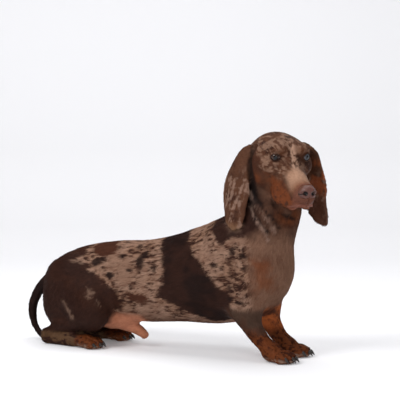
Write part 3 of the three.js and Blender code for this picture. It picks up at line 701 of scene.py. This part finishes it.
# brown with light swirls over the skull, dark brows and lids, rust flews and a light bridge
def faceColour(h, ragged, hair):
    x, y, z = h[:, 0], np.abs(h[:, 1]), h[:, 2]
    swirl = softNoise(h + 6 * softNoise(h, 20, 12, 2)[:, None], (10, 4.6, 5.2), 13, 4)
    face = mix(faceHues["brown"], hues["chocolate"], ramp(softNoise(h, 14, 11), 0.0, 0.5) * 0.8)
    crown = ramp(z, -4, 8) * fall(x, 66, 78)
    under = ramp(z, -26, -12) * ramp(x + 8 * swirl, 10, 24) * fall(x, 54, 66)
    face = mix(face, faceHues["swirl"], np.maximum(crown, under) * ramp(swirl + 0.3 * hair, -0.14, 0.34) * 0.88)
    blaze = fall(y + 4 * swirl, 4, 9) * ramp(x, 24, 34) * fall(x, 72, 86) * ramp(z, -12, -4)
    broken = np.maximum(ramp(swirl + 0.4 * hair, -0.3, 0.3), 0.6 * ramp(x, 52, 62))
    face = mix(face, faceHues["blaze"], blaze * broken * 0.75)
    brow = np.exp(-(((x - 38) / 8) ** 2 + ((y - 17) / 8) ** 2 + ((z - 19) / 7) ** 2))
    face = mix(face, faceHues["brow"], np.clip(brow * 1.3, 0, 1) * 0.85)
    cheek = ramp(x + 0.5 * ragged, -30, -14) * fall(x + 6 * swirl, 14, 26) * fall(z + 5 * swirl, -2, 12)
    face = mix(face, faceHues["cheek"], cheek * 0.9)
    # painted shade, darker towards the bottom of the cheek
    face = mix(face, faceHues["lowerCheekShade"], cheek * ramp(-z, 24, 44) * 0.8)
    spot = np.exp(-(((x - 12) / 8) ** 2 + ((z + 36) / 8) ** 2)) * ramp(y, 20, 30)
    face = mix(face, faceHues["cheekSpot"], np.clip(spot * 1.2, 0, 1) * 0.45)
    jowl = ramp(x + ragged * 1.5, 24, 42) * fall(z + ragged + 0.25 * (x - 60), -30, -16)
    flew = mix(faceHues["flew"], faceHues["flewDark"], ramp(softNoise(h, (9, 6, 6), 17, 3), 0.0, 0.5))
    face = mix(face, flew, jowl * 0.95)
    bridge = ramp(x + ragged, 58, 74) * ramp(z + 0.35 * (x - 60), -20, -6)
    top = mix(faceHues["bridge"], faceHues["bridgeEnd"], ramp(x, 84, 104))
    face = mix(face, top, bridge * (0.82 + 0.16 * softNoise(h, (7, 1.8, 1.8), 18, 2)))
    face = mix(face, faceHues["front"], ramp(x, 97, 106) * 0.8)
    dots = ramp(softNoise(h, 3.2, 15, 1), 0.4, 0.6) * ramp(x, 74, 80) * fall(z, -30, -22)
    face = mix(face, faceHues["dot"], dots * 0.6)
    mouth = mouthDistance(h)
    lowerLip = fall(mouth, 2, 7) * ramp(-z, 40, 44) * ramp(x, 84, 100)
    face = mix(face, faceHues["lip"], lowerLip * 0.7)
    face = mix(face, faceHues["mouth"], fall(mouth, 0.6, 2.4) * 0.95)
    for side in (1, -1):
        rim = openingDistance(h, side)
        face = mix(face, faceHues["lid"], fall(rim, 1.2, 1.7) * 0.6)
        face = mix(face, faceHues["lidRim"], fall(rim, 1.02, 1.25))
    throat = ramp(-z, 56, 66) * fall(y, 30, 40)
    return mix(face, faceHues["throat"], throat * 0.7)


# painted shade in the hollow behind the cheek, rust under the throat, and the folds of the neck with painted shade in
# their grooves and painted light on their ridges
def neckColour(colour, points, part, noise):
    ragged, fine, hair = noise["ragged"], noise["fine"], noise["hair"]
    h = part["inHead"]
    hollow = np.minimum(lineDistance(h, earHollow), lineDistance(h * (1, -1, 1), earHollow))
    # painted shade round the hollow behind the cheek, deepest near its line and reaching wider lower down
    colour = mix(colour, hues["hollow"], fall(hollow, 6, 28) * 0.9 * part["body"])
    low = ramp(-h[:, 2], 14, 34)
    colour = mix(colour, hues["hollow"], fall(hollow - 8 * low, 3, 9) * 0.88 * (1 - part["ear"]))
    throat = np.exp(-(((points - (226, -6, 238)) / (22, 30, 15)) ** 2).sum(axis=1))
    patch = np.clip(throat * 1.3, 0, 1) * ramp(softNoise(points, 16, 9), -0.5, 0.2) * 0.85
    colour = mix(colour, hues["rust"] * 0.6, patch * part["body"])
    # painted shade in the grooves of the folds
    for s in bodyStrokes:
        if "dark" in s:
            near = lineDistance(points, s["line"]) + ragged * 0.4
            share = fall(near, s["dark"] * 0.5, s["dark"] * 1.7) * 0.88
            colour = mix(colour, hues["fold"], share * part["body"])
    # painted light along the ridges of the folds
    for s in bodyStrokes:
        if "pale" in s:
            near = lineDistance(points, s["line"]) + ragged * 0.5
            share = fall(near, 1.0, 4.0) * ramp(hair + 0.4 * fine, -0.5, 0.1) * 0.85
            colour = mix(colour, hues["ridgeLight"], share * part["body"])
    return colour


# ears: brown leaves with pale streaks along them, a pale tip on the right and a rust inside on the left, lighter than
# its own rust as painted light, since the left ear lies in shade
def earColour(h, fine):
    drop = -h[:, 2]
    right = fall(h[:, 1], -6, 6)
    leaf = mix(earHues["brown"], earHues["dark"], ramp(softNoise(h, 20, 22), -0.1, 0.5) * 0.8)
    streak = ramp(softNoise(h, (6, 6, 30), 21, 3) + 0.5 * fine, 0.0, 0.5)
    leaf = mix(leaf, earHues["pale"], streak * 0.75 * ramp(drop, 16, 50))
    leaf = mix(leaf, earHues["tip"], ramp(drop, 112, 130) * right * 0.7)
    middle = np.stack([np.interp(drop, -leftEarLine[:, 2], leftEarLine[:, axis]) for axis in range(3)], axis=1)
    inside = ramp((h - middle) @ (0.475, -0.81, -0.16), -1.5, 0.5) * ramp(softNoise(h, 15, 23), -0.4, 0.15)
    inside *= ramp(drop, 2, 20) * fall(drop, 52, 76)
    leaf = mix(leaf, earHues["inside"], inside * (1 - right) * 0.8)
    return mix(leaf, earHues["leftEnd"], (1 - right) * ramp(drop, 66, 86) * 0.8)


def coatColour(points, part):
    h = part["inHead"]
    noise = coatNoise(points)
    fine, hair = noise["fine"], noise["hair"]
    # the two sides carry the same kinds of marks, a little apart
    left = ramp(points[:, 1], 30, 46)
    flat = np.stack([points[:, 0] + 9 * left, points[:, 2] - 4 * left], axis=1)
    colour = trunkColour(points, flat, part, noise)
    colour = limbColour(colour, points, part, noise)
    colour = mix(colour, faceColour(h, noise["ragged"], hair), part["head"])
    colour = neckColour(colour, points, part, noise)
    colour = mix(colour, earColour(h, fine), part["ear"])
    # painted shade along the line where each ear meets the head and neck
    colour = mix(colour, earHues["rim"], part["earEdge"] * 0.75)
    return np.clip(colour * (1 + 0.10 * hair[:, None] + 0.05 * fine[:, None]), 0.002, 1)


def paintPiece(piece, colour):
    layer = piece.data.color_attributes.new("coatColour", "FLOAT_COLOR", "POINT")
    layer.data.foreach_set("color", np.hstack([colour, np.ones((len(colour), 1))]).ravel())


def paintOutput(material):
    paint = material.node_tree.nodes.new("ShaderNodeAttribute")
    paint.attribute_name = "coatColour"
    return paint.outputs["Color"]


# short flat hair: colour from the markings, with fine lines of hair in the tone and the bump
coatLook = {"rough": 0.62, "gloss": 0.09, "strands": 900, "along": (0.22, 1, 0.8), "tone": (0.78, 1.22),
            "bump": 0.5, "depth": 0.0006}


def hairMaterial(name, bumped):
    material = newMaterial(name, (0.1, 0.06, 0.05, 1), coatLook["rough"])
    nodes, links = material.node_tree.nodes, material.node_tree.links
    shader = nodes["Principled BSDF"]
    setInputs(shader, {"Specular IOR Level": coatLook["gloss"]})
    place = nodes.new("ShaderNodeTexCoord")
    stretch = nodes.new("ShaderNodeMapping")
    setInputs(stretch, {"Scale": coatLook["along"]})
    strands = nodes.new("ShaderNodeTexNoise")
    setInputs(strands, {"Scale": coatLook["strands"], "Detail": 3})
    links.new(place.outputs["Object"], stretch.inputs["Vector"])
    links.new(stretch.outputs["Vector"], strands.inputs["Vector"])
    tone = nodes.new("ShaderNodeMapRange")
    setInputs(tone, {"To Min": coatLook["tone"][0], "To Max": coatLook["tone"][1]})
    links.new(strands.outputs["Fac"], tone.inputs["Value"])
    tinted = nodes.new("ShaderNodeVectorMath")
    tinted.operation = "SCALE"
    links.new(paintOutput(material), tinted.inputs[0])
    links.new(tone.outputs["Result"], tinted.inputs["Scale"])
    links.new(tinted.outputs["Vector"], shader.inputs["Base Color"])
    if bumped:
        addBump(material, strands.outputs["Fac"], coatLook["bump"], coatLook["depth"])
    return material


# a round start for the nose and the eyeballs, with its unit directions
def unitBall(name, subdivisions):
    bm = bmesh.new()
    bmesh.ops.create_icosphere(bm, subdivisions=subdivisions, radius=1)
    piece = meshPiece(name, bm)
    unit = np.empty(len(piece.data.vertices) * 3)
    piece.data.vertices.foreach_get("co", unit)
    smoothFaces(piece)
    return piece, unit.reshape(-1, 3)


# nose leather with nostrils
nose = {
    "at": np.array((111.5, 0, -22.5)), "half": np.array((11.2, 14.8, 13.0)), "nostril": (118.5, 6.6, -20.5),
    "hole": {"wide": 3.3, "deep": 6.0}, "slit": {"wide": 1.5, "by": -2.6}, "wing": {"wide": 2.2, "by": 0.8},
    "cleft": {"wide": 1.1, "by": -1.3}, "rough": 0.45, "gloss": 0.25, "wet": 0.08, "wetRough": 0.2,
    "pebbles": 950, "bump": 0.35, "depth": 0.0004,
    # dark is painted shade in the nostrils and their slits
    "leather": shade(98, 62, 54), "mottle": shade(72, 42, 36), "back": shade(84, 48, 32), "dark": shade(14, 8, 7),
}


def shapeNose(unit):
    h = unit * nose["half"]
    low = ramp(-unit[:, 2], 0.1, 1)
    h[:, 1] *= 1 - 0.42 * low  # narrower towards the lip
    h[:, 0] -= 2.0 * low * ramp(unit[:, 0], 0, 1)
    h[:, 2] -= 1.2 * ramp(np.abs(unit[:, 1]), 0.5, 1)
    h[:, 0] += 1.6 * bell(np.abs(unit[:, 1]) - 0.42, 0.22) * ramp(unit[:, 0], 0.2, 0.9) * (1 - low)
    h += nose["at"]
    out = unit / np.linalg.norm(unit, axis=1)[:, None]
    x, y, z = nose["nostril"]
    # the nostrils and the slits beside them are painted dark as shade
    dark = np.zeros(len(h))
    for side in (1, -1):
        hole = np.linalg.norm((h - (x + 3, side * y, z)) / (1.6, 1, 1), axis=1)
        deep = nose["hole"]["deep"] * bell(hole, nose["hole"]["wide"])
        h -= np.array((1, 0.25 * side, 0)) * deep[:, None]
        slit = np.array(((x + 1, y + 1.5, z - 0.5), (x - 2, y + 5.5, z - 3), (x - 7, y + 8, z - 4))) * (1, side, 1)
        slitShade = 0.85 * fall(lineDistance(h, slit), 0.6, 2.2)
        dark = np.maximum(dark, np.maximum(fall(hole, 2.6, 4.6), slitShade))
        h = stroke(h, out, slit, **nose["slit"])
        wing = ((x + 2, side * (y + 2), z + 4.5), (x - 2, side * (y + 6.5), z + 1.5))
        h = stroke(h, out, wing, **nose["wing"])
    return stroke(h, out, ((x + 5, 0, z + 1), (x + 3, 0, z - 7), (x, 0, z - 13)), **nose["cleft"]), dark


def buildNose():
    piece, unit = unitBall("noseLeather", 6)
    h, dark = shapeNose(unit)
    putPoints(piece.data, fromHead(h))
    tone = nose["leather"] * (1 + 0.18 * softNoise(h, 5, 31)[:, None])
    tone = mix(tone, nose["mottle"], ramp(softNoise(h, 9, 32), 0, 0.6) * 0.5)
    tone = mix(tone, nose["back"], ramp(nose["at"][0] - h[:, 0], -5, 1))
    paintPiece(piece, mix(tone, nose["dark"], dark))
    material = newMaterial("noseLeather", (0.2, 0.1, 0.09, 1), nose["rough"])
    nodes, links = material.node_tree.nodes, material.node_tree.links
    shader = nodes["Principled BSDF"]
    setInputs(shader, {"Specular IOR Level": nose["gloss"], "Coat Weight": nose["wet"],
                       "Coat Roughness": nose["wetRough"]})
    place = nodes.new("ShaderNodeTexCoord")
    pebbles = nodes.new("ShaderNodeTexVoronoi")
    setInputs(pebbles, {"Scale": nose["pebbles"]})
    links.new(place.outputs["Object"], pebbles.inputs["Vector"])
    addBump(material, pebbles.outputs["Distance"], nose["bump"], nose["depth"])
    links.new(paintOutput(material), shader.inputs["Base Color"])
    piece.data.materials.append(material)
    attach(piece, "root")
    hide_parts("nose")
    print("nose made")


# eyeballs with a raised cornea; the iris is painted by the angle from the line of sight
eyeHues = {"right": shade(56, 34, 24), "left": shade(74, 74, 80), "pupil": shade(4, 2, 2), "rim": shade(22, 13, 11),
           "white": shade(138, 114, 106)}


def buildEyes():
    material = newMaterial("eye", (0.02, 0.01, 0.008, 1), 0.04)
    shader = material.node_tree.nodes["Principled BSDF"]
    setInputs(shader, {"Specular IOR Level": 0.36})
    material.node_tree.links.new(paintOutput(material), shader.inputs["Base Color"])
    for side, word in ((1, "left"), (-1, "right")):
        at, look, across, up = eyeFrame(side)
        piece, unit = unitBall("eyeball_" + word, 5)
        angle = np.degrees(np.arccos(np.clip(unit @ look, -1, 1)))
        h = at + unit * (eyes["radius"] + eyes["bulge"] * fall(angle, 8, 42))[:, None]
        putPoints(piece.data, fromHead(h))
        around = np.degrees(np.arctan2(unit @ up, unit @ across)) / 6
        spoke = softNoise(np.stack([around, angle / 14, angle * 0], axis=1), 1, 41, 2)
        iris = eyeHues[word]
        tone = iris * (1 + 0.35 * spoke[:, None])
        tone = mix(tone, iris * 1.4, fall(np.abs(angle - 27), 1, 5) * 0.5)
        tone = mix(tone, eyeHues["pupil"], fall(angle, 20, 23.5))
        tone = mix(tone, eyeHues["rim"], ramp(angle, 31, 34))
        tone = mix(tone, eyeHues["white"], ramp(angle, 35, 40))
        paintPiece(piece, np.clip(tone, 0, 1))
        piece.data.materials.append(material)
        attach(piece, "root")
        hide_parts("eye_" + word)
    print("eyes made")


# claws: hooked cones with a ridge, four to a paw
claws = {"length": {"front": 8.5, "hind": 7.0}, "root": 2.8, "tip": 0.7, "taper": 1.3, "steps": 8, "sides": 14,
         "high": 1.15, "hook": 0.05, "down": 0.34, "ahead": 9.5, "above": 9.4}


def clawWidth(share):
    return claws["root"] + (claws["tip"] - claws["root"]) * share ** claws["taper"]


def buildClaws():
    material = newMaterial("horn", (0.03, 0.02, 0.017, 1), 0.35)
    nodes, links = material.node_tree.nodes, material.node_tree.links
    place = nodes.new("ShaderNodeTexCoord")
    grain = nodes.new("ShaderNodeTexNoise")
    setInputs(grain, {"Scale": 500})
    tone = nodes.new("ShaderNodeValToRGB")
    tone.color_ramp.elements[0].color = (0.005, 0.0035, 0.003, 1)
    tone.color_ramp.elements[1].color = (0.03, 0.02, 0.016, 1)
    links.new(place.outputs["Object"], grain.inputs["Vector"])
    links.new(grain.outputs["Fac"], tone.inputs["Fac"])
    links.new(tone.outputs["Color"], nodes["Principled BSDF"].inputs["Base Color"])
    for paw, (x, y, turn, scale) in toes["paws"].items():
        length, steps = claws["length"][paw.split("_")[0]], claws["steps"]
        bm = bmesh.new()
        for tx, ty in toes["row"]:
            ring = bmesh.ops.create_circle(bm, cap_ends=True, segments=claws["sides"], radius=claws["root"])["verts"]
            verts = list(ring)
            for step in range(steps):
                rim = [e for e in bm.edges if e.verts[0] in ring and e.verts[1] in ring]
                drawn = bmesh.ops.extrude_edge_only(bm, edges=rim)["geom"]
                ring = [v for v in drawn if isinstance(v, bmesh.types.BMVert)]
                bmesh.ops.translate(bm, vec=(0, 0, length / steps), verts=ring)
                share = clawWidth((step + 1) / steps) / clawWidth(step / steps)
                bmesh.ops.scale(bm, vec=(share, share, 1), verts=ring)
                verts += ring
            bmesh.ops.contextual_create(bm, geom=ring)
            bmesh.ops.rotate(bm, matrix=Matrix.Rotation(math.pi / 2, 3, "Y"), verts=verts)
            for vert in verts:
                vert.co.z = vert.co.z * claws["high"] - claws["hook"] * vert.co.x ** 2
            bmesh.ops.rotate(bm, matrix=Matrix.Rotation(claws["down"], 3, "Y"), verts=verts)
            to = ((tx + claws["ahead"]) * scale, ty * scale, claws["above"] * scale)
            bmesh.ops.translate(bm, vec=to, verts=verts)
        bmesh.ops.rotate(bm, matrix=Matrix.Rotation(math.radians(turn), 3, "Z"), verts=bm.verts)
        bmesh.ops.translate(bm, vec=(x, y, 0), verts=bm.verts)
        for vert in bm.verts:
            vert.co.z = max(vert.co.z, 0.05)
        bmesh.ops.scale(bm, vec=(mm, mm, mm), verts=bm.verts)
        piece = meshPiece("claws_" + paw, bm)
        smoothFaces(piece)
        piece.data.materials.append(material)
        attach(piece, "root")
        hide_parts(*[f"claw_{paw}_{i}" for i in (1, 2, 3, 4)])
    print("claws made")


def unitRows(vectors):
    return vectors / np.maximum(np.linalg.norm(vectors, axis=1), 1e-6)[:, None]


# the lie of the coat: a direction along the skin at each point
lieTo = {"back": (-1.0, 0, -0.28), "chest": (-0.25, 0, -1.0), "neck": (-0.55, 0.1, -0.8), "leg": (0.35, 0, -1.0),
         "thigh": (-0.5, 0, -0.9), "paw": (1.0, 0, -0.25), "ear": (0.12, 0, -1.0)}


def lieOfCoat(points, normals, part):
    h = part["inHead"]
    x, z = points[:, 0], points[:, 2]
    to = {name: np.array(way) for name, way in lieTo.items()}
    lie = mix(to["back"], to["chest"], ramp(x, 150, 185))
    lie = mix(lie, to["neck"], ramp(z, 190, 220) * 0.8)
    lie = mix(lie, to["leg"], fall(z, 78, 96) * ramp(x, 116, 132))
    lie = mix(lie, to["thigh"], fall(x, -130, -90) * fall(z, 90, 140))
    lie = mix(lie, to["paw"], part["feet"] * fall(z, 20, 32))
    along = np.zeros((len(points), 3))
    for a, b in zip(tailLine, tailLine[1:]):
        along += bell(lineDistance(points, (a, b)), 12)[:, None] * (b - a)
    lie = mix(lie, unitRows(along), part["tail"])
    face = np.stack([-np.ones(len(h)), 0.35 * np.sign(h[:, 1]), np.where(h[:, 2] < 0, -0.35, 0.1)], axis=1)
    lie = mix(lie, face @ headTurn.T, part["head"])
    lie = mix(lie, to["ear"] @ headTurn.T, part["ear"])
    return unitRows(lie - normals * (lie * normals).sum(1)[:, None])


# tufts: thin three-sided locks that lie along the body; each coat piece covers a part of it
coat = {"tufts": 200000, "perPiece": 46000, "long": 7.0, "wide": 0.52, "lift": 0.085, "looseLift": 0.06,
        "turn": 0.16, "swirl": 0.3, "lean": 0.25, "patch": 0.003,
        "sizes": (0.7, 1.25), "widths": (0.8, 1.25), "lifts": (0.5, 1.5), "tones": (0.76, 1.24)}


def triangleArrays(mesh):
    mesh.calc_loop_triangles()
    corners = np.empty(len(mesh.loop_triangles) * 3, np.int64)
    mesh.loop_triangles.foreach_get("vertices", corners)
    loops = np.empty(len(mesh.loop_triangles) * 3, np.int64)
    mesh.loop_triangles.foreach_get("loops", loops)
    return corners.reshape(-1, 3), loops.reshape(-1, 3)


def unwrapSkin(piece):
    bpy.ops.object.select_all(action="DESELECT")
    piece.select_set(True)
    bpy.context.view_layer.objects.active = piece
    piece.data.uv_layers.new(name="skinMap")
    bpy.ops.object.mode_set(mode="EDIT")
    bpy.ops.mesh.select_all(action="SELECT")
    bpy.ops.uv.smart_project(angle_limit=math.radians(66), island_margin=0.002)
    bpy.ops.object.mode_set(mode="OBJECT")
    flat = np.empty(len(piece.data.loops) * 2)
    piece.data.uv_layers["skinMap"].data.foreach_get("uv", flat)
    return flat.reshape(-1, 2)


# no tufts over the eyes, the nose, the line of the mouth or under the paws
def bareOfCoat(centre, h):
    bare = np.linalg.norm((h - nose["at"]) / nose["half"], axis=1) < 1.1
    for side in (1, -1):
        bare |= openingDistance(h, side) < 1.25
    return bare | (centre[:, 2] < 1.2) | (mouthDistance(h) < 1.8)


# roots spread over the skin, closer on the head, the ears and the feet
def pickRoots(piece, skinPart):
    points, _, normals = meshArrays(piece.data)
    corners, loops = triangleArrays(piece.data)
    uv = unwrapSkin(piece)
    print("skin unwrapped")
    a, b, c = (points[corners[:, i]] for i in range(3))
    area = np.linalg.norm(np.cross(b - a, c - a), axis=1) / 2
    part = {name: values[corners].mean(axis=1) for name, values in skinPart.items()}
    dense = area * (1 + 1.6 * part["head"] + 0.7 * part["ear"] + 1.0 * part["feet"])
    dense[bareOfCoat((a + b + c) / 3, part["inHead"])] = 0
    pick = rng.choice(len(area), coat["tufts"], p=dense / dense.sum())
    s, t = rng.random((2, coat["tufts"]))
    flip = s + t > 1
    s, t = np.where(flip, 1 - s, s), np.where(flip, 1 - t, t)
    share = np.stack([1 - s - t, s, t], axis=1)

    def at(values, index):
        chosen = values[index[pick]]
        return (chosen * share.reshape(share.shape + (1,) * (chosen.ndim - 2))).sum(1)

    out = at(normals, corners)
    out /= np.linalg.norm(out, axis=1)[:, None]
    part = {name: at(values, corners) for name, values in skinPart.items()}
    return at(points, corners), out, at(uv, loops), part


def tuftCorners(root, out, part):
    lie = lieOfCoat(root, out, part)
    turn = rng.normal(0, coat["turn"], len(root)) + coat["swirl"] * softNoise(root, 26, 51, 2)
    lie = lie * np.cos(turn)[:, None] + np.cross(out, lie) * np.sin(turn)[:, None]
    across = np.cross(out, lie)
    size = coat["long"] * (1 - 0.5 * part["head"]) * (1 - 0.45 * part["ear"]) * (1 - 0.5 * part["feet"])
    size *= 1 - 0.45 * part["head"] * ramp(part["inHead"][:, 0], 48, 70)
    groin = fall(root[:, 2], 54, 70) * ramp(root[:, 0], -130, -110) * fall(root[:, 0], -52, -34)
    size *= 1 - 0.45 * groin
    size *= rng.uniform(*coat["sizes"], len(root))
    wide = coat["wide"] * (0.55 + 0.45 * size / coat["long"]) * rng.uniform(*coat["widths"], len(root))
    lift = coat["lift"] * rng.uniform(*coat["lifts"], len(root))
    # hair stands a little at the back of the thighs and on the tail
    thigh = fall(root[:, 0], -215, -190) * (1 - part["tail"])
    lift += coat["looseLift"] * np.maximum(thigh, part["tail"] * 0.6)
    size, wide, lift = size[:, None], wide[:, None], lift[:, None]
    base = root - out * 0.3 * wide - lie * 0.1 * size
    tip = root + lie * 0.9 * size + out * lift * size
    half = across * wide * 0.5
    corner = np.stack([base - half, base + half, base + out * 0.55 * wide, tip], axis=1)
    corner[:, :, 2] = np.maximum(corner[:, :, 2], 0.06)
    lean = out + coat["lean"] * lie
    return corner, lean / np.linalg.norm(lean, axis=1)[:, None]


# a tuft has a left, a right and an upper corner at its root, and a tip
tuftFaces = np.array(((0, 2, 1), (0, 3, 2), (1, 2, 3), (0, 1, 3)))
tuftPatch = np.array(((-0.5, -0.3), (0.5, -0.3), (0, 0), (0, 0.6))) * coat["patch"]


def tuftMesh(corner, rootUv, lean):
    verts = corner.reshape(-1, 3) * mm
    faces = (tuftFaces[None] + 4 * np.arange(len(corner))[:, None, None]).reshape(-1, 3)
    mesh = bpy.data.meshes.new("coat")
    mesh.vertices.add(len(verts))
    mesh.vertices.foreach_set("co", verts.ravel())
    mesh.loops.add(faces.size)
    mesh.loops.foreach_set("vertex_index", faces.ravel())
    mesh.polygons.add(len(faces))
    mesh.polygons.foreach_set("loop_start", np.arange(0, faces.size, 3))
    mesh.update(calc_edges=True)
    mesh.polygons.foreach_set("use_smooth", np.ones(len(faces), bool))
    patch = (rootUv[:, None, :] + tuftPatch[None]).reshape(-1, 2)
    mesh.uv_layers.new(name="OFBake").data.foreach_set("uv", patch[faces.ravel()].ravel())
    mesh.normals_split_custom_set_from_vertices(np.repeat(lean, 4, axis=0))
    return mesh


def buildCoat(piece, skinPart, material):
    root, out, rootUv, part = pickRoots(piece, skinPart)
    corner, lean = tuftCorners(root, out, part)
    colour = coatColour(root, part) * rng.uniform(*coat["tones"], len(root))[:, None]
    order = np.lexsort((root[:, 1] > midY, np.round(root[:, 0] / 12)))
    for index, start in enumerate(range(0, len(root), coat["perPiece"])):
        chosen = order[start:start + coat["perPiece"]]
        mesh = tuftMesh(corner[chosen], rootUv[chosen], lean[chosen])
        tufts = bpy.data.objects.new(f"coat_{index + 1}", mesh)
        bpy.context.scene.collection.objects.link(tufts)
        paintPiece(tufts, np.repeat(colour[chosen], 4, axis=0))
        mesh.materials.append(material)
        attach(tufts, "root")
    print("coat laid:", len(root), "tufts")


makeStage()
print("stage set")
body, bodyPart = buildSkin()
paintPiece(body, coatColour(meshArrays(body.data)[0], bodyPart))
body.data.materials.clear()
body.data.materials.append(hairMaterial("skinHair", True))
print("skin painted:", len(body.data.polygons), "faces")
buildNose()
buildEyes()
buildClaws()
buildCoat(body, bodyPart, hairMaterial("hair", False))
